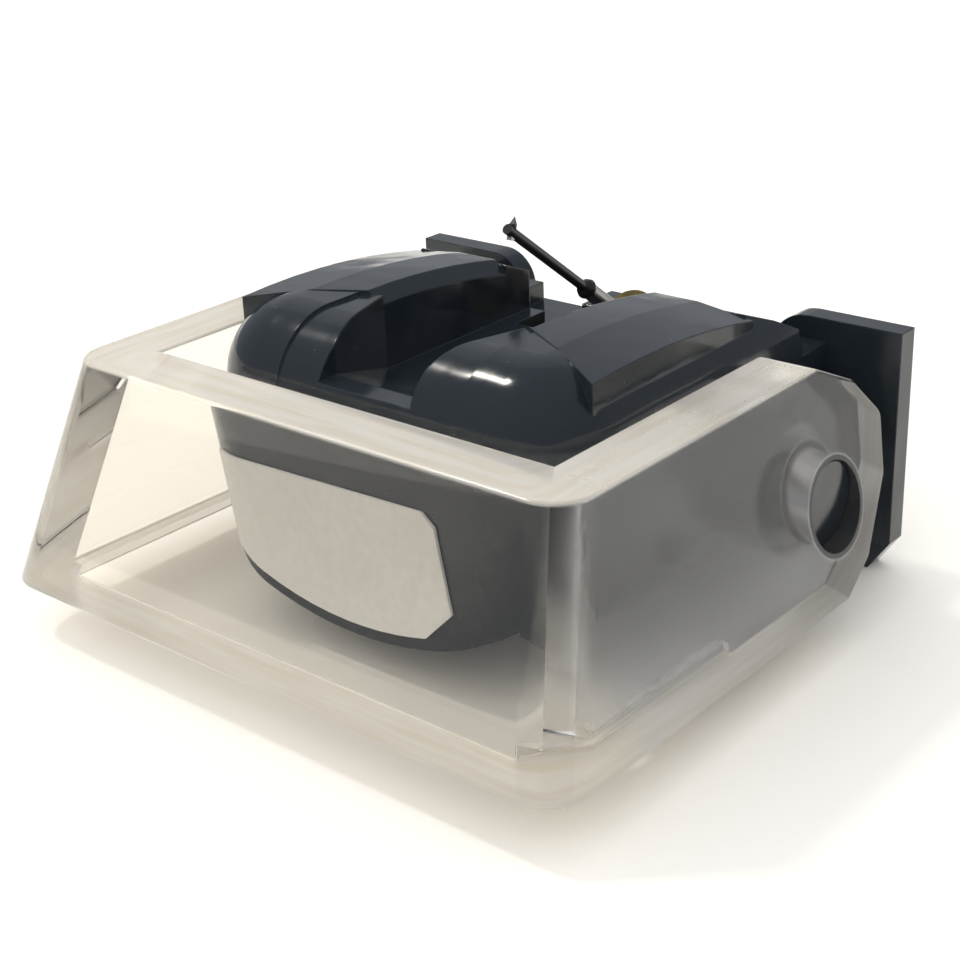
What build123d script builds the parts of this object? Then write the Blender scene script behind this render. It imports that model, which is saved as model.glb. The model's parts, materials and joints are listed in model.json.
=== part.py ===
from build123d import *
from math import atan, cos, radians, sin, sqrt
import os

os.makedirs("parts", exist_ok=True)

# Clear swing guard, sizes in mm as it lies open on the table
guard_half_base = 9.0
guard_flare = 1.2
guard_lift = 0.5
guard_height = 5.7
guard_setback = 2.05
guard_side_wall = 1.62
guard_front_wall = 1.72
guard_corner_r = 1.1
guard_edge_r = 0.12
tail_reach = 2.65
tail_lean = 0.25
tail_hip = 1.48
tail_round = 0.35
heel_back = 1.15
heel_rise = 0.65
crown_back = 1.6
crown_drop = 0.75
rail_depth = 0.3
rail_height = 0.3
rail_back = 7.4

# Hinge between guard and holder
hinge_reach = 11.55
hinge_rise = 2.37
bore_r = 1.10
running_gap = 0.04
stub_bite = 1.35
shoulder_r = 1.6
shoulder_out = 0.5
shoulder_in = 1.4

# Black front block
side_gap = 0.3
face_gap = 0.55
block_taper = 0.9
floor_radius = 9.5
front_corner_r = 2.2
waist_z = 5.2
nose_top = 7.33
top_round = 2.0
nose_gap_half = 1.45
nose_step_half = 2.77
nose_step = 0.08
slab_top = 7.36
slab_crown_r = 24.0
slab_crown_back = 3.4
slab_crest_cut = 0.35
slab_flat_half = 3.9
slab_outer_drop = 0.2
slab_inset = 0.35
slab_front_back = 3.4
slab_sweep = 1.75
slab_reach = 0.95
slab_root = 1.1
ramp_drop = 0.1
ramp_length = 0.9
ramp_fall = 0.35
tail_top = 6.0
tail_back = 1.3
channel_half = 2.25
channel_floor = 5.3
groove_floor = 6.1
groove_flat = 0.8
well_half = 1.75
well_start = 0.7
well_run = 1.4
well_depth = 1.3
pit_back = 1.35
pit_depth = 3.5
rear_slot_half = 3.4
rear_slot_start = 1.95
rear_slot_depth = 0.55
pip_r = 0.36
pip_back = 3.9
pip_rise = 1.75
pip_out = 0.3

# Label film on the front
label_t = 0.08
label_top = 3.7
label_margin = 0.34
label_inset = 1.33
label_wrap = 0.3
label_flare = 0.44
label_cut = 1.25
label_peak = 0.2

# Mounting flange
flange_gap = 4.0
flange_t = 0.65
flange_over = 0.13
flange_top = 5.9
flange_drop = 0.75
flange_corner = 0.1
flange_foot_cut = 0.6
ear_in = 4.2
ear_round = 1.05
dip_drop = 0.75
boss_half = 1.45
boss_front = 0.75
boss_drop = 0.1
boss_height = 3.1

# Stylus arm, tilted in the symmetry plane
arm_angle = 37.0
pivot_z = 4.66
pivot_ahead = 0.2
rod_r = 0.135
pipe_r = 0.23
arm_length = 6.8
joint_at = 2.72
rod_bite = 1.3
bead_r = 0.28
bead_length = 0.32
stem_r = 1.2
stem_seat_r = 0.9
stem_bore = 0.74
stem_lip = 0.42
stem_mouth = 0.45
stem_lip_t = 0.2
stem_shoulder = 2.35
stem_end = 5.6
magnet_r = 0.36
magnet_length = 2.0
damper_length = 0.35
damper_play = 0.1
wire_r = 0.06
wire_play = 0.12
stop_length = 0.7
tip_lean = 20.0
diamond_side = 0.14
diamond_shank = 0.4
diamond_point = 0.2
fit_gap = 0.02

# Sizes that follow from the ones above
guard_z0 = guard_lift
guard_z1 = guard_lift + guard_height
guard_half_rim = guard_half_base - guard_flare
flare_slope = guard_flare / guard_height
front_slope = guard_setback / guard_height
hinge_y = hinge_reach
hinge_z = guard_z0 + hinge_rise
block_half = guard_half_rim - guard_side_wall - side_gap
face_y = guard_setback + guard_front_wall + face_gap
flange_y = hinge_y + flange_gap
flange_half = guard_half_rim + flange_over
flange_back = flange_y + flange_t
pivot_y = flange_y - pivot_ahead
stub_r = bore_r - running_gap
rear_end = pivot_y + stem_end * cos(radians(arm_angle)) + stem_r * sin(radians(arm_angle))
front_lean = atan(front_slope)
front_edge = guard_edge_r * ((1 + sin(front_lean)) / cos(front_lean) - 1)
y_mid = (front_edge + rear_end) / 2
over = 0.5


def side_prism(points, half):
    """Solid with the given outline in the Y-Z plane, reaching half either side of the middle."""
    outline = make_face(Polyline(*[(0, y, z) for y, z in points], close=True))
    return extrude(outline, amount=half, dir=(1, 0, 0), both=True)


def front_prism(points, y0, y1):
    """Solid with the given outline in the X-Z plane, from y0 back to y1."""
    outline = make_face(Polyline(*[(x, y0, z) for x, z in points], close=True))
    return extrude(outline, amount=y1 - y0, dir=(0, 1, 0))


def plan_prism(points, z0, z1):
    """Solid with the given outline in the X-Y plane, from z0 up to z1."""
    outline = make_face(Polyline(*[(x, y, z0) for x, y in points], close=True))
    return extrude(outline, amount=z1 - z0, dir=(0, 0, 1))


def mirrored(points):
    """Right-hand outline points followed by their mirror images, as one closed outline."""
    return points + [(-x, y) for x, y in reversed(points)]


def block(x0, x1, y0, y1, z0, z1):
    """Box between two corners."""
    return Pos((x0 + x1) / 2, (y0 + y1) / 2, (z0 + z1) / 2) * Box(x1 - x0, y1 - y0, z1 - z0)


def cross_pin(radius, x0, x1, y, z):
    """Cylinder along X between x0 and x1."""
    return Pos((x0 + x1) / 2, y, z) * Rot(0, 90, 0) * Cylinder(radius, x1 - x0)


def on_arm(s):
    """Point on the arm's axis at distance s from the pivot, positive towards the tip."""
    a = radians(arm_angle)
    return (0, pivot_y - s * cos(a), pivot_z + s * sin(a))


def arm_plane(s):
    """Plane square to the arm at distance s from the pivot, its normal towards the tip."""
    a = radians(arm_angle)
    return Plane(origin=on_arm(s), x_dir=(1, 0, 0), z_dir=(0, -cos(a), sin(a)))


def arm_rod(radius, s0, s1):
    """Cylinder on the arm's axis from s0 to s1."""
    return extrude(arm_plane(s0) * Circle(radius), amount=s1 - s0)


def arm_tube(outer, inner, s0, s1):
    """Tube on the arm's axis from s0 to s1."""
    return extrude(arm_plane(s0) * (Circle(outer) - Circle(inner)), amount=s1 - s0)


def finish(shape, name):
    """Moves one piece to the part's own frame and writes it out."""
    moved = Pos(0, -y_mid, flange_drop) * shape
    solids = moved.solids()
    piece = solids[0] if len(solids) == 1 else Compound(children=list(solids))
    piece.label = name
    export_step(piece, f"parts/{name}.step")
    print(name, len(solids), round(sum(s.volume for s in solids), 4))


# Guard: a front wall and two side walls, flared towards the table, open above, below and behind.
# The tail of each side wall is faceted round the hinge bore.
split_y = hinge_y / 2
tail = [
    (split_y, guard_z0),
    (hinge_y, guard_z0),
    (hinge_y + heel_back, guard_z0 + heel_rise),
    (hinge_y + tail_reach - tail_lean, hinge_z),
    (hinge_y + tail_reach, hinge_z + tail_hip),
    (hinge_y + crown_back, guard_z1 - crown_drop),
    (hinge_y, guard_z1),
    (split_y, guard_z1),
]
tail_line = FilletPolyline(*[(0, y, z) for y, z in tail], radius=tail_round)
front = [(split_y, guard_z1), (guard_setback, guard_z1), (0, guard_z0), (split_y, guard_z0)]
front_line = Polyline(*[(0, y, z) for y, z in front])
shell = extrude(make_face(tail_line + front_line), amount=guard_half_base + over, dir=(1, 0, 0), both=True)
flare = [
    (-guard_half_base, guard_z0),
    (guard_half_base, guard_z0),
    (guard_half_rim, guard_z1),
    (-guard_half_rim, guard_z1),
]
guard_back = hinge_y + tail_reach
shell = shell & front_prism(flare, -over, guard_back + over)
corner_x = (guard_half_base + guard_half_rim) / 2
corner_edges = [
    e for e in shell.edges()
    if abs(abs(e.center().X) - corner_x) < guard_flare / 4 and e.center().Y < guard_setback
]
shell = fillet(corner_edges, guard_corner_r)
inner_low = guard_half_base - guard_side_wall + over * flare_slope
inner_high = guard_half_rim - guard_side_wall - over * flare_slope
hollow = front_prism(
    [
        (-inner_low, guard_z0 - over),
        (inner_low, guard_z0 - over),
        (inner_high, guard_z1 + over),
        (-inner_high, guard_z1 + over),
    ],
    -over,
    guard_back + over,
)
hollow = hollow & side_prism(
    [
        (guard_front_wall - over * front_slope, guard_z0 - over),
        (guard_back + over, guard_z0 - over),
        (guard_back + over, guard_z1 + over),
        (guard_setback + guard_front_wall + over * front_slope, guard_z1 + over),
    ],
    guard_half_base + over,
)
guard = shell - hollow
guard = fillet([e for e in guard.edges() if abs(e.center().Z - guard_z1) < 0.001], guard_edge_r)
wall_in = guard_half_base - guard_side_wall
for side in (1, -1):
    rail = front_prism(
        [
            (side * (wall_in - rail_depth), guard_z0),
            (side * (wall_in + rail_depth), guard_z0),
            (side * (wall_in + rail_depth - rail_height * flare_slope), guard_z0 + rail_height),
            (side * (wall_in - rail_depth - rail_height * flare_slope), guard_z0 + rail_height),
        ],
        guard_front_wall - rail_depth,
        rail_back,
    )
    guard = guard + rail
guard = guard - cross_pin(bore_r, -guard_half_base - over, guard_half_base + over, hinge_y, hinge_z)
finish(guard, "stylus_guard")

# Front block: a tapered body on a rounded underside, with rounded front corners and shoulders.
# Its front curls back over the top, where a groove parts it into two noses.
ridge_y = face_y + slab_front_back
slab_half = block_half - slab_inset
slab_rear = hinge_y + slab_reach
tail_y = flange_y - tail_back
crown_y = face_y + slab_crown_back
crown_z = slab_top - slab_crown_r
slab_rear_z = crown_z + sqrt(slab_crown_r**2 - (slab_rear - crown_y) ** 2)
ramp_z = slab_rear_z - ramp_drop


def body_outline(half, z, grow):
    """Plan of the body at height z, its two front corners rounded, grown outwards by grow."""
    reach = half + grow
    corners = [(reach, flange_y), (reach, face_y - grow), (-reach, face_y - grow), (-reach, flange_y)]
    line = FilletPolyline(*[(x, y, z) for x, y in corners], radius=front_corner_r + grow)
    return make_face(line + Line((-reach, flange_y, z), (reach, flange_y, z)))


def tapered_body(grow):
    """Body that narrows towards the table, up to where its shoulders begin."""
    low = body_outline(block_half - block_taper, 0, grow)
    high = body_outline(block_half, waist_z, grow)
    return loft([low, high], ruled=True)


upper_body = extrude(body_outline(block_half, waist_z, 0), amount=nose_top - waist_z, dir=(0, 0, 1))
body = tapered_body(0) + upper_body
top_edges = [
    e for e in body.edges()
    if abs(e.center().Z - nose_top) < 0.001 and e.center().Y < flange_y - 0.001
]
body = fillet(top_edges, top_round)
keel = Pos(0, flange_y / 2, floor_radius) * Rot(90, 0, 0) * Cylinder(floor_radius, flange_y)
body = body & keel
step_span = block(-nose_step_half, nose_step_half, 0, ridge_y, waist_z, slab_top + over)
body = body - (step_span - Pos(0, 0, -nose_step) * body)
rear_outline = [
    (slab_rear, slab_top),
    (slab_rear, ramp_z),
    (slab_rear + ramp_length, ramp_z - ramp_fall),
    (tail_y, tail_top),
    (tail_y, channel_floor),
    (flange_y + over, channel_floor),
    (flange_y + over, slab_top),
]
body = body - side_prism(rear_outline, guard_half_base)

# Slabs: two raised pads behind the noses, crowned from front to back round a large radius.
# Each has a flat top with a cut edge beside the channel and a gentle fall towards the outside.
slab_base = slab_top - slab_root
slab_section = [
    (channel_half, slab_base - slab_root),
    (slab_half, slab_base - slab_root),
    (slab_half, slab_top - slab_outer_drop),
    (slab_flat_half, slab_top),
    (channel_half + slab_crest_cut, slab_top),
    (channel_half, slab_top - slab_crest_cut),
]
slab_plan = [
    (channel_half, ridge_y),
    (slab_half, ridge_y - slab_sweep),
    (slab_half, slab_rear),
    (channel_half, slab_rear),
]
slab_face = make_face(Polyline(*[(x, crown_y, z) for x, z in slab_section], close=True))
seat = plan_prism(slab_plan, slab_base, slab_top + over)
slab = revolve(slab_face, axis=Axis((0, crown_y, crown_z), (1, 0, 0))) & seat
body = body - seat - mirror(seat, about=Plane.YZ)
body = body + slab + mirror(slab, about=Plane.YZ)

# Stylus channel: a groove between the noses that opens into a wide slot running out at the rear.
groove_y = face_y + groove_flat
groove_outline = mirrored([(nose_gap_half, 0), (nose_gap_half, groove_y), (channel_half, ridge_y)])
groove = plan_prism(groove_outline, channel_floor - over, slab_top + over)
groove_side = side_prism(
    [
        (0, groove_floor),
        (groove_y, groove_floor),
        (ridge_y, channel_floor),
        (ridge_y, slab_top + over),
        (0, slab_top + over),
    ],
    channel_half + over,
)
body = body - (groove & groove_side)
body = body - block(-channel_half, channel_half, ridge_y, flange_y + over, channel_floor, slab_top + over)
well = side_prism(
    [
        (hinge_y + well_start, channel_floor),
        (hinge_y + well_start + well_run, channel_floor - well_depth),
        (flange_y - pit_back, channel_floor - well_depth),
        (flange_y - pit_back, channel_floor - pit_depth),
        (flange_y + over, channel_floor - pit_depth),
        (flange_y + over, slab_top),
        (hinge_y + well_start, slab_top),
    ],
    well_half,
)
body = body - well
body = body - block(
    -rear_slot_half,
    rear_slot_half,
    hinge_y + rear_slot_start,
    flange_y + over,
    channel_floor - rear_slot_depth,
    slab_top + over,
)

# Hinge shoulders and stubs on the block's sides, and a small pip on each side for the guard to ride over.
wall_x = guard_half_base - guard_side_wall - flare_slope * hinge_rise
pip_z = guard_z0 + pip_rise
pip_x = block_half - block_taper * (1 - pip_z / waist_z)
for side in (1, -1):
    shoulder_span = sorted((side * (block_half - shoulder_in), side * (block_half + shoulder_out)))
    stub_span = sorted((side * block_half, side * (wall_x + stub_bite)))
    pip_span = sorted((side * (pip_x - pip_r), side * (pip_x + pip_out)))
    body = body + cross_pin(shoulder_r, *shoulder_span, hinge_y, hinge_z)
    body = body + cross_pin(stub_r, *stub_span, hinge_y, hinge_z)
    body = body + cross_pin(pip_r, *pip_span, face_y + pip_back, pip_z)
finish(body, "front_block")

# Label: thin film that wraps the rounded front, its lower edge an arc that follows the underside.
arc_r = floor_radius - label_margin
label_low = block_half - block_taper - label_inset
label_high = label_low + label_flare
label_left = label_low + label_wrap


def label_arc(x):
    """Height of the label's lower edge at x."""
    return floor_radius - sqrt(arc_r**2 - x**2)


label_y = face_y - over
label_lines = ThreePointArc(
    (-label_left, label_y, label_arc(label_left)),
    (0, label_y, label_margin),
    (label_low - label_cut, label_y, label_arc(label_low - label_cut)),
)
label_lines = label_lines + Polyline(
    (label_low - label_cut, label_y, label_arc(label_low - label_cut)),
    (label_low - label_cut / 3, label_y, label_arc(label_low) + label_cut / 3),
    (label_high - label_cut, label_y, label_top - label_peak / 2),
    (label_high - 1.3 * label_cut, label_y, label_top + label_peak),
    (-label_high - label_wrap, label_y, label_top),
    (-label_left, label_y, label_arc(label_left)),
)
label_area = extrude(make_face(label_lines), amount=over + front_corner_r, dir=(0, 1, 0))
finish((tapered_body(label_t) & label_area) - tapered_body(0), "front_label")

# Mounting flange: plate with two ears, a low opening between them and a boss that holds the stem.
dip = channel_floor - dip_drop
plate_outline = mirrored(
    [
        (ear_in, dip),
        (ear_in, flange_top),
        (flange_half, flange_top),
        (flange_half, flange_corner),
        (flange_half - flange_foot_cut, -flange_drop),
    ]
)
plate = front_prism(plate_outline, flange_y, flange_back)
ear_edges = [
    e for e in plate.edges().filter_by(Axis.Y)
    if abs(abs(e.center().X) - ear_in) < 0.001 and abs(e.center().Z - flange_top) < 0.001
]
plate = fillet(ear_edges, ear_round)
boss_top = channel_floor - boss_drop
boss = block(-boss_half, boss_half, flange_y - boss_front, flange_back, boss_top - boss_height, boss_top)
flange = plate + boss
flange = flange - arm_rod(stem_seat_r + fit_gap / 2, -stem_end, stem_end)
finish(flange, "mounting_flange")

# Stem: turned tube in line with the arm, with a shoulder behind the flange and a lip that holds the damper.
lip_back = stem_mouth - stem_lip_t
stem = arm_rod(stem_seat_r, -stem_shoulder, stem_mouth) + arm_rod(stem_r, -stem_end, -stem_shoulder)
stem = stem - arm_rod(stem_bore, -stem_end - 1, lip_back) - arm_rod(stem_lip, lip_back - 0.1, stem_mouth + 1)
finish(stem, "stem_tube")

# Damper ring of rubber between stem and pipe, free of the lip by its play.
damper_front = lip_back - damper_play
damper = arm_tube(stem_bore - fit_gap, pipe_r + fit_gap, damper_front - damper_length, damper_front)
finish(damper, "damper_ring")

# Magnet on the back end of the pipe.
magnet_front = damper_front - damper_length - fit_gap
magnet_back = magnet_front - magnet_length
finish(arm_rod(magnet_r, magnet_back, magnet_front), "magnet")

# Stop that anchors the tie wire at the back of the stem.
stop = arm_tube(stem_bore - fit_gap / 2, wire_r + fit_gap / 2, -stem_end, stop_length - stem_end)
finish(stop, "wire_stop")

# Tie wire from the stop forward to the magnet, its end free by the wire's play.
finish(arm_rod(wire_r, -stem_end, magnet_back - wire_play), "tie_wire")

# Pipe of aluminium that carries the dark rod.
rod_seat = joint_at - rod_bite
pipe = arm_tube(pipe_r, rod_r + fit_gap / 2, rod_seat, joint_at) + arm_rod(pipe_r, magnet_front, rod_seat)
finish(pipe, "cantilever_pipe")

# Bead of adhesive where the rod leaves the pipe.
bead_bore = rod_r + fit_gap / 2
bead_outline = [
    (bead_bore, 0),
    (bead_r - 0.03, 0),
    (bead_r, -0.25 * bead_length),
    (bead_r - 0.04, -0.6 * bead_length),
    (bead_bore, -bead_length),
]
bead_plane = Plane(origin=on_arm(joint_at), x_dir=(1, 0, 0), z_dir=arm_plane(0).y_dir)
bead_face = bead_plane * make_face(Polyline(*bead_outline, close=True))
finish(revolve(bead_face, axis=Axis(on_arm(joint_at), arm_plane(0).z_dir)), "joint_bead")

# Dark rod of the cantilever, with a square hole for the diamond.
rod = arm_rod(rod_r, rod_seat, arm_length)
tip_at = arm_length - 0.22
lean = radians(tip_lean)
tip_plane = Plane(origin=on_arm(tip_at), x_dir=(1, 0, 0), z_dir=(0, sin(lean), cos(lean)))
tip_hole = diamond_side + fit_gap / 2
rod = rod - extrude(tip_plane * Rectangle(tip_hole, tip_hole), amount=diamond_shank + rod_r, both=True)
finish(rod, "cantilever_rod")

# Diamond: square shank through the rod, ground to a point on the record side.
shank_face = Rectangle(diamond_side, diamond_side)
shank = extrude(tip_plane * shank_face, amount=diamond_shank / 2, both=True)
flat = 0.05 * diamond_side
tip_base = tip_plane.offset(diamond_shank / 2)
tip_end = tip_plane.offset(diamond_shank / 2 + diamond_point)
point = loft([tip_base * shank_face, tip_end * Rectangle(flat, flat)], ruled=True)
finish(shank + point, "diamond_tip")
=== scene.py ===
import json

import bpy
import numpy as np
from mathutils import Matrix, Vector


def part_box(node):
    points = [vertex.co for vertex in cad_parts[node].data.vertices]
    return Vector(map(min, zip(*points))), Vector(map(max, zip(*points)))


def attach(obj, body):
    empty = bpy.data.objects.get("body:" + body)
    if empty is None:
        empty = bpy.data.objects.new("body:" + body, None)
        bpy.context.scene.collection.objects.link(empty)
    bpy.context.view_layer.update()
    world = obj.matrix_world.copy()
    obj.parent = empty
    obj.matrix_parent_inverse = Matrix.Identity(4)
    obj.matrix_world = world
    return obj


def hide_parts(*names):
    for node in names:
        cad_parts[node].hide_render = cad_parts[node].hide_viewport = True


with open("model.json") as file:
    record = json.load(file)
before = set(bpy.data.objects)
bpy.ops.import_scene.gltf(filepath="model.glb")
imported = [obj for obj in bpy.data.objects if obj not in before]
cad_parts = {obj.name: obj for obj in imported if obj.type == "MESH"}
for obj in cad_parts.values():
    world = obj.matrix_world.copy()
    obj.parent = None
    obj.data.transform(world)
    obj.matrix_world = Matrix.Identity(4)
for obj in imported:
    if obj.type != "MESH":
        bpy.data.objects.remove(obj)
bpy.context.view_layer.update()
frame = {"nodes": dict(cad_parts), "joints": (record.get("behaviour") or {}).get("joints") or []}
nodes = frame["nodes"]


# Front block and mounting flange: the black holder, injection moulded in ABS in a polished tool.
# The block carries the label, the stylus channel and the hinge stubs, and the flange closes its back.
def linear(hex_colour):
    """sRGB hex to linear RGBA: each channel c becomes c/12.92 below 0.04045, else ((c+0.055)/1.055)^2.4."""
    c = np.array([int(hex_colour[i:i + 2], 16) for i in (1, 3, 5)]) / 255
    c = np.where(c <= 0.04045, c / 12.92, ((c + 0.055) / 1.055) ** 2.4)
    return (*c.tolist(), 1.0)


def node(material, kind, links=None, **settings):
    """Adds one shader node with its settings and input values, and links {input: (node, output)} to it."""
    made = material.node_tree.nodes.new(kind)
    for key, value in settings.items():
        if hasattr(made, key):
            setattr(made, key, value)
        else:
            made.inputs[key.replace("_", " ")].default_value = value
    for key, (source, output) in (links or {}).items():
        material.node_tree.links.new(source.outputs[output], made.inputs[key])
    return made


def new_material(name):
    """An empty node material and its Object coordinates, which are metres in the part's own frame."""
    material = bpy.data.materials.new(name)
    material.use_nodes = True
    material.node_tree.nodes.clear()
    return material, (node(material, "ShaderNodeTexCoord"), "Object")


def noise(material, place, size_mm, detail, **settings):
    """Noise with cells size_mm across, over the coordinates in place."""
    scale = 1000 / size_mm
    made = node(material, "ShaderNodeTexNoise", {"Vector": place}, Scale=scale, Detail=detail, **settings)
    return made, "Fac"


def span(material, source, low, high, start=0.0, end=1.0):
    """Takes source from the range start..end to the range low..high, and holds it at the ends."""
    limits = {"From_Min": start, "From_Max": end, "To_Min": low, "To_Max": high}
    return node(material, "ShaderNodeMapRange", {"Value": source}, **limits), "Result"


def ramp(material, source, low, high, start=0.0, end=1.0):
    """Colour that goes from hex low where source is start to hex high where source is end."""
    made = node(material, "ShaderNodeValToRGB", {"Fac": source})
    for stop, position, colour in zip(made.color_ramp.elements, (start, end), (low, high)):
        stop.position = position
        stop.color = linear(colour)
    return made, "Color"


def relief(material, height, strength, depth, **links):
    """Normals of a surface that height raises by up to depth, in metres."""
    heights = {"Height": height, **links}
    return node(material, "ShaderNodeBump", heights, Strength=strength, Distance=depth), "Normal"


def cover(material, links, **settings):
    """Ends a material in one Principled surface with these links and values."""
    skin = node(material, "ShaderNodeBsdfPrincipled", links, **settings)
    node(material, "ShaderNodeOutputMaterial", {"Surface": (skin, "BSDF")})


def wear(material, *names):
    """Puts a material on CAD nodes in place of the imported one."""
    for name in names:
        nodes[name].data.materials.clear()
        nodes[name].data.materials.append(material)


# Moulded black ABS: the polished tool leaves a deep gloss with a faint sink of the surface, its edges are
# a little round, and handling leaves a thin film and a few specks of dust that show as paler points.
edge_round = 0.00006
speck_mm = 0.55
black, place = new_material("moulded_black_abs")
sink = noise(black, place, size_mm=1.6, detail=1.0)
film = noise(black, place, size_mm=0.7, detail=5.0, Roughness=0.6)
speck = node(black, "ShaderNodeTexVoronoi", {"Vector": place}, Scale=1000 / speck_mm)
gloss = span(black, film, low=0.11, high=0.2, start=0.35, end=0.7)
dust = span(black, (speck, "Distance"), low=1.0, high=0.0, start=0.02, end=0.06)
dusty = ramp(black, dust, "#1d2328", "#4a4f56")
edge = node(black, "ShaderNodeBevel", Radius=edge_round, samples=4)
dents = relief(black, sink, strength=0.8, depth=0.00005, Normal=(edge, "Normal"))
cover(black, {"Base Color": dusty, "Roughness": gloss, "Normal": dents}, IOR=1.53)
wear(black, "front_block", "mounting_flange")


# Label: a thin coated film, die cut and stuck on the front of the block.
# It is 0.08 mm thick, and its right corners are cut off.
def maths(material, operation, *terms):
    """One step of arithmetic on terms, each a number or a (node, output) pair."""
    links = {i: term for i, term in enumerate(terms) if isinstance(term, tuple)}
    made = node(material, "ShaderNodeMath", links, operation=operation)
    for i, term in enumerate(terms):
        if i not in links:
            made.inputs[i].default_value = term
    return made, "Value"


# Coated film: a matt white face with a little mottle, and a faint soiling from handling.
label_film, place = new_material("coated_label_film")
mottle = noise(label_film, place, size_mm=0.25, detail=5.0)
soil = noise(label_film, place, size_mm=3.0, detail=3.0)
mixed = maths(label_film, "MULTIPLY", mottle, soil)
soiled = ramp(label_film, mixed, "#d6d5d1", "#e2e1de", start=0.1, end=0.45)
tooth = relief(label_film, mottle, strength=0.15, depth=0.00002)
cover(label_film, {"Base Color": soiled, "Normal": tooth}, Roughness=0.5, IOR=1.5)
wear(label_film, "front_label")


# Guard: one clear acrylic moulding that swings on the block's two stubs.
# Its front wall is polished, its right wall is hazed by handling, and its rim and foot are ground flat.
# Each band below is where one finish turns into the next, in metres.
guard_low, guard_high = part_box("stylus_guard")
half_x = guard_high[0]
front_y = guard_low[1]
foot_z = guard_low[2]
rim_z = guard_high[2]
bore_y, bore_z = next(j["pos_m"] for j in frame["joints"] if j["name"] == "guard_swing")[1:]
bore_r = 0.0011
foot_band = (foot_z + 0.00002, foot_z + 0.00006)
rim_band = (rim_z - 0.00010, rim_z - 0.00004)
bore_band = (bore_r + 0.0001, bore_r + 0.0002)
tail_band = (bore_y - 0.0004, bore_y)
side_band = (0.0060, 0.0068)
back_band = (front_y + 0.0022, front_y + 0.0034)
foot_share = 1.0
rim_share = 0.4
tail_share = 0.6
bore_share = 0.8
haze_roughness = 0.14
ground_roughness = 0.3
line_squeeze = 0.08
line_bend = 0.0008


def mix(material, share, first, second):
    """First colour turning into second by share; a colour is hex or a (node, output) pair."""
    links = {"Fac": share}
    plain = {}
    for key, colour in (("Color1", first), ("Color2", second)):
        if isinstance(colour, tuple):
            links[key] = colour
        else:
            plain[key] = linear(colour)
    return node(material, "ShaderNodeMixRGB", links, **plain), "Color"


# Moulded acrylic: clear as glass on the polished front, thinly hazed and painted a shaded grey on the right
# wall, and a soft cream white with lengthwise saw lines on every face that was ground: the foot, the rim and
# the tail's edge.
# The bore is painted dark grey as shade inside the hole, where the black stub sits.
clear, place = new_material("moulded_clear_acrylic")
axes = node(clear, "ShaderNodeSeparateXYZ", {"Vector": place})
facing = node(clear, "ShaderNodeSeparateXYZ", {"Vector": (place[0], "Normal")})
foot = span(clear, (axes, "Z"), foot_share, 0.0, *foot_band)
rim = span(clear, (axes, "Z"), 0.0, rim_share, *rim_band)
flat = maths(clear, "MAXIMUM", foot, rim)
sideways = maths(clear, "ABSOLUTE", (facing, "X"))
cut = span(clear, sideways, low=tail_share, high=0.0, start=0.3, end=0.5)
from_bore = node(
    clear, "ShaderNodeMapping", {"Vector": place}, Location=(0.0, -bore_y, -bore_z), Scale=(0.0, 1.0, 1.0)
)
away = node(clear, "ShaderNodeVectorMath", {0: (from_bore, "Vector")}, operation="LENGTH")
solid = span(clear, (away, "Value"), 0.0, 1.0, *bore_band)
rear = span(clear, (axes, "Y"), 0.0, 1.0, *tail_band)
tail = maths(clear, "MULTIPLY", cut, maths(clear, "MULTIPLY", solid, rear))
ground = maths(clear, "MAXIMUM", flat, tail)
# Painted shade: 1 on the bore wall, which is painted dark grey.
bore_shade = span(clear, solid, low=1.0, high=0.0)

# The saw lines run along each wall and turn with its corners: inward is the distance in from the outer edge.
from_side = maths(clear, "SUBTRACT", half_x, maths(clear, "ABSOLUTE", (axes, "X")))
from_front = maths(clear, "SUBTRACT", (axes, "Y"), front_y)
inward = maths(clear, "SMOOTH_MIN", from_side, from_front, line_bend)
onward = maths(clear, "ADD", (axes, "X"), (axes, "Y"))
squeezed = maths(clear, "MULTIPLY", onward, line_squeeze)
lines = node(clear, "ShaderNodeCombineXYZ", {"X": inward, "Y": squeezed})
strokes = noise(clear, (lines, "Vector"), size_mm=0.3, detail=4.0)
cream = ramp(clear, strokes, "#f6eddc", "#fffaf0", start=0.36, end=0.6)

# The right wall is hazier than the rest and painted greyer as shade on that side, and what is ground, or
# painted dark as shade in the bore, lets less light through.
beside = span(clear, (axes, "X"), 0.0, 1.0, *side_band)
behind = span(clear, (axes, "Y"), 0.0, 1.0, *back_band)
# Mask of the right wall, which gets more haze and a painted grey shade.
wall = maths(clear, "MULTIPLY", beside, behind)
sawn = span(clear, ground, low=0.0, high=1.0, end=0.35)
# Painted shade: the clear tint turns to grey on the right wall.
moulded = mix(clear, wall, "#fdfaf4", "#e6e8ec")
# The bore wall is painted dark grey as shade.
tint = mix(clear, bore_shade, mix(clear, sawn, moulded, cream), "#2a2b2d")
haze = noise(clear, place, size_mm=1.2, detail=4.0)
polish = span(clear, haze, low=0.01, high=0.03, start=0.3, end=0.8)
cloudy = maths(clear, "MULTIPLY_ADD", wall, haze_roughness, polish)
dull = maths(clear, "MULTIPLY_ADD", ground, ground_roughness, cloudy)
# The painted shade in the bore also lets less light through.
bore_shade_dimming = maths(clear, "MULTIPLY", bore_shade, bore_share)
through = span(clear, maths(clear, "MAXIMUM", ground, bore_shade_dimming), low=1.0, high=0.1)
cover(clear, {"Base Color": tint, "Roughness": dull, "Transmission Weight": through}, IOR=1.49)
wear(clear, "stylus_guard")


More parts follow.
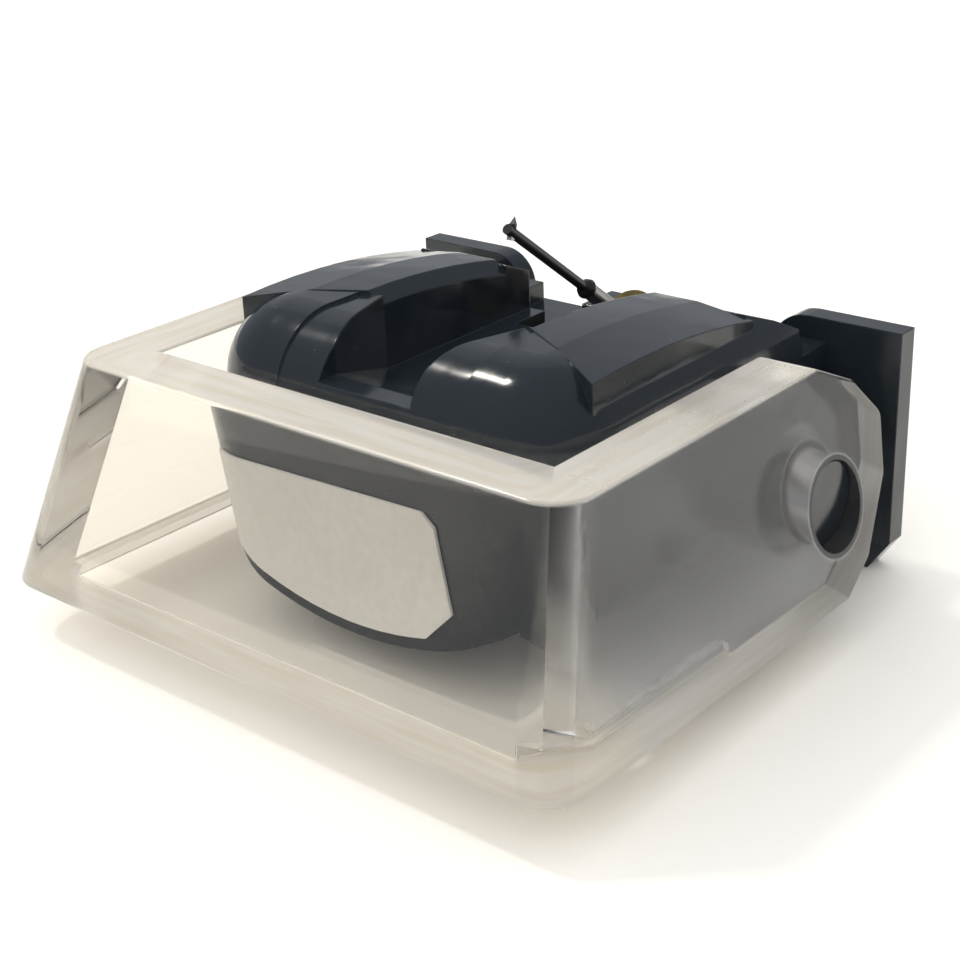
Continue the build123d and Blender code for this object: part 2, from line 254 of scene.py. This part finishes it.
# Stem and wire stop: turned from brass rod, the stem pressed through the flange from behind.
# Turned brass: fine marks from the tool, dulled to a brownish yellow where it is not handled.
brass, place = new_material("turned_brass")
marks = noise(brass, place, size_mm=0.15, detail=3.0)
tarnish = noise(brass, place, size_mm=0.9, detail=4.0)
rub = span(brass, marks, low=0.28, high=0.46)
dulled = ramp(brass, tarnish, "#85754c", "#b5a26c", start=0.3, end=0.7)
cover(brass, {"Base Color": dulled, "Roughness": rub}, Metallic=1.0)
wear(brass, "stem_tube", "wire_stop")


# Damper: a ring of soft butyl rubber, moulded and pushed into the stem behind its lip.
# Its edges are rounded, and its back stops short of the magnet to leave room for the arm's lift.
damper_out = 0.00072
damper_in = 0.00025
damper_length = 0.00035
damper_room = 0.00003
damper_edge = 0.4
arm_tilt = np.radians(37.0)

# Moulded rubber: nearly black and dull, with a fine grain.
rubber, place = new_material("moulded_butyl_rubber")
grain = noise(rubber, place, size_mm=0.08, detail=3.0)
bumps = relief(rubber, grain, strength=0.3, depth=0.00001)
rub = span(rubber, grain, low=0.6, high=0.8)
cover(rubber, {"Normal": bumps, "Roughness": rub}, Base_Color=linear("#1c1b1a"), IOR=1.52)


def new_piece(name, points, material, ends=()):
    """Quads over a grid of points, closed round its columns, and round its rows unless it has ends."""
    rows, columns = points.shape[:2]
    row = np.arange(rows - 1 if len(ends) else rows)[:, None]
    column = np.arange(columns)
    after = (column + 1) % columns
    here = row * columns
    ahead = (row + 1) % rows * columns
    quads = np.stack([here + column, here + after, ahead + after, ahead + column], axis=-1)
    mesh = bpy.data.meshes.new(name)
    mesh.from_pydata(points.reshape(-1, 3).tolist(), [], quads.reshape(-1, 4).tolist() + list(ends))
    mesh.shade_smooth()
    mesh.materials.append(material)
    piece = bpy.data.objects.new(name, mesh)
    bpy.context.collection.objects.link(piece)
    return piece


def turned(centre, axis, radius, rise, turn):
    """Points round axis: centre + radius (cos(turn) x + sin(turn) axis x x) + rise axis, x along X."""
    across = np.array((1.0, 0.0, 0.0))
    spoke = np.cos(turn)[..., None] * across + np.sin(turn)[..., None] * np.cross(axis, across)
    return centre + radius[..., None] * spoke + rise[..., None] * axis


def ring(centre, axis, around=64, section=32):
    """Ring round axis: its section is a superellipse, each half size times cos t or sin t ^ damper_edge."""
    steps = np.linspace(0, 2 * np.pi, section, endpoint=False)
    t, turn = np.meshgrid(steps, np.linspace(0, 2 * np.pi, around, endpoint=False), indexing="ij")
    half_wide = (damper_out - damper_in) / 2
    half_long = (damper_length - damper_room) / 2
    radius = (damper_out + damper_in) / 2 + half_wide * np.sign(np.cos(t)) * np.abs(np.cos(t)) ** damper_edge
    rise = half_long * np.sign(np.sin(t)) * np.abs(np.sin(t)) ** damper_edge
    return turned(centre, axis, radius, rise, turn)


arm_axis = np.array((0.0, -np.cos(arm_tilt), np.sin(arm_tilt)))
ring_middle = np.mean(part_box("damper_ring"), axis=0) + damper_room / 2 * arm_axis
damper = new_piece("rubber_damper", ring(ring_middle, arm_axis), rubber)
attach(damper, "suspension")
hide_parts("damper_ring")


# Magnet: a short rod of sintered alloy on the back end of the pipe.
# Sintered alloy: a grey metal with a grainy, half-dull face.
alloy, place = new_material("sintered_magnet_alloy")
grain = noise(alloy, place, size_mm=0.06, detail=4.0)
rub = span(alloy, grain, low=0.4, high=0.65)
bumps = relief(alloy, grain, strength=0.2, depth=0.00001)
cover(alloy, {"Roughness": rub, "Normal": bumps}, Base_Color=linear("#7c7d80"), Metallic=1.0)
wear(alloy, "magnet")


# Tie wire: hard-drawn steel, anchored in the stop and running forward to the magnet.
# Drawn steel: bright, and faintly uneven from the die.
steel, place = new_material("drawn_steel_wire")
grain = noise(steel, place, size_mm=0.05, detail=2.0)
rub = span(steel, grain, low=0.2, high=0.35)
cover(steel, {"Roughness": rub}, Base_Color=linear("#b9babc"), Metallic=1.0)
wear(steel, "tie_wire")


# Cantilever pipe: drawn aluminium tube that carries the rod and the magnet.
# Drawn aluminium: pale grey, half bright, with a thin grey oxide bloom.
aluminium, place = new_material("drawn_aluminium")
grain = noise(aluminium, place, size_mm=0.09, detail=3.0)
rub = span(aluminium, grain, low=0.3, high=0.48)
cover(aluminium, {"Roughness": rub}, Base_Color=linear("#aeaca8"), Metallic=1.0)
wear(aluminium, "cantilever_pipe")


# Cantilever rod: a stiff dark rod glued into the end of the pipe.
# Vapour-grown boron: almost black, half bright, with a fine nodular skin.
boron, place = new_material("grown_boron_rod")
grain = noise(boron, place, size_mm=0.07, detail=3.0)
rub = span(boron, grain, low=0.3, high=0.5)
bumps = relief(boron, grain, strength=0.15, depth=0.00001)
cover(boron, {"Roughness": rub, "Normal": bumps}, Base_Color=linear("#141414"), IOR=1.7)
wear(boron, "cantilever_rod")


# Joint bead and tip collar: drops of epoxy that hold the rod in the pipe and the diamond in the rod.
# The collar is drawn up round the diamond's foot by its own surface tension.
collar_r = 0.000135
collar_rise = 0.00013
collar_neck = 0.00009
collar_turns = 32
collar_rows = 12
tip_lean = np.radians(20.0)

# Set epoxy: dark brown and glossy, wavy where it ran.
epoxy, place = new_material("set_dark_epoxy")
flow = noise(epoxy, place, size_mm=0.2, detail=2.0)
rub = span(epoxy, flow, low=0.15, high=0.3)
bumps = relief(epoxy, flow, strength=0.3, depth=0.00002)
cover(epoxy, {"Roughness": rub, "Normal": bumps}, Base_Color=linear("#1b1715"), IOR=1.55)
wear(epoxy, "joint_bead")


def collar(centre, axis):
    """Drop round axis: radius falls from collar_r to collar_neck as a quarter sine while it rises."""
    turns = np.linspace(0, 2 * np.pi, collar_turns, endpoint=False)
    share, turn = np.meshgrid(np.linspace(0, 1, collar_rows), turns, indexing="ij")
    radius = collar_neck + (collar_r - collar_neck) * (1 - np.sin(share * np.pi / 2))
    return turned(centre, axis, radius, share * collar_rise, turn)


tip_axis = np.array((0.0, np.sin(tip_lean), np.cos(tip_lean)))
tip_middle = np.mean(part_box("diamond_tip"), axis=0) * np.array((0.0, 1.0, 1.0))
top_row = (collar_rows - 1) * collar_turns
collar_ends = [list(range(collar_turns - 1, -1, -1)), list(range(top_row, top_row + collar_turns))]
tip_collar = new_piece("tip_collar", collar(tip_middle, tip_axis), epoxy, collar_ends)
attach(tip_collar, "arm")


# Diamond: a square shank set through the end of the rod and ground to a point.
# Ground diamond: clear and very bright, greyed by the lapping.
diamond, place = new_material("ground_diamond")
lapping = noise(diamond, place, size_mm=0.04, detail=2.0)
rub = span(diamond, lapping, low=0.05, high=0.2)
cover(diamond, {"Roughness": rub}, Base_Color=linear("#8f8d88"), IOR=2.42, Transmission_Weight=0.7)
wear(diamond, "diamond_tip")


# Stage: a plain pale floor under soft studio light.
# The floor lies a hair below the part, so that the two never share a plane.
floor_half = 0.6
floor_drop = 0.00002
corners = [(x * floor_half, y * floor_half, 0) for x, y in ((-1, -1), (1, -1), (1, 1), (-1, 1))]
floor_mesh = bpy.data.meshes.new("floor")
floor_mesh.from_pydata(corners, [], [(0, 1, 2, 3)])
floor = bpy.data.objects.new("floor", floor_mesh)
bpy.context.collection.objects.link(floor)
floor.location.z = -floor_drop
pale, place = new_material("pale_floor")
paper = noise(pale, place, size_mm=2.0, detail=3.0)
rub = span(pale, paper, low=0.6, high=0.75)
cover(pale, {"Roughness": rub}, Base_Color=linear("#f2efe9"))
floor_mesh.materials.append(pale)


def lamp(name, towards, strength, spread, colour, mirrored=True, piercing=True):
    """A far light from towards, spread degrees wide, seen in gloss and through the clear guard or not."""
    light = bpy.data.lights.new(name, "SUN")
    light.energy = strength
    light.angle = np.radians(spread)
    light.color = linear(colour)[:3]
    stand = bpy.data.objects.new(name, light)
    bpy.context.collection.objects.link(stand)
    stand.rotation_euler = Vector(towards).to_track_quat("Z", "Y").to_euler()
    stand.visible_glossy = mirrored
    stand.visible_transmission = piercing


lamp("key", (-0.57, -0.05, 0.82), 0.7, 5.0, "#fff9f0", piercing=False)
lamp("back", (-0.57, 0.69, 0.5), 0.08, 50.0, "#fffdf8")
lamp("dome", (-0.25, 0.0, 1.0), 2.8, 150.0, "#fffefb", mirrored=False)
lamp("fill", (0.1, -0.85, 0.5), 0.6, 60.0, "#fbfbff", mirrored=False)

# The world is a dim bluish surround, and light may cross the guard's walls many times.
light_bounces = 24
scene = bpy.context.scene
scene.world = bpy.data.worlds.new("studio")
scene.world.use_nodes = True
surround = scene.world.node_tree.nodes["Background"]
surround.inputs["Color"].default_value = linear("#e4eaf4")
surround.inputs["Strength"].default_value = 0.38
scene.view_settings.view_transform = "Standard"
scene.cycles.max_bounces = light_bounces
scene.cycles.transmission_bounces = light_bounces

# Camera: where the photograph was taken from, worked out from the guard's corners.
sensor_mm = 36.0
focal_pixels = 1729.5
photo_pixels = 960
camera_place = (0.026529, -0.032168, 0.021222)
camera_turn = Matrix((
    (0.764065, -0.234632, 0.600964),
    (0.643897, 0.335098, -0.687834),
    (-0.039999, 0.912505, 0.407117),
))
lens = bpy.data.cameras.new("camera")
lens.sensor_width = sensor_mm
lens.lens = sensor_mm * focal_pixels / photo_pixels
lens.clip_start = 0.002
lens.clip_end = 5.0
camera = bpy.data.objects.new("camera", lens)
bpy.context.collection.objects.link(camera)
camera.matrix_world = Matrix.Translation(camera_place) @ camera_turn.to_4x4()
scene.camera = camera
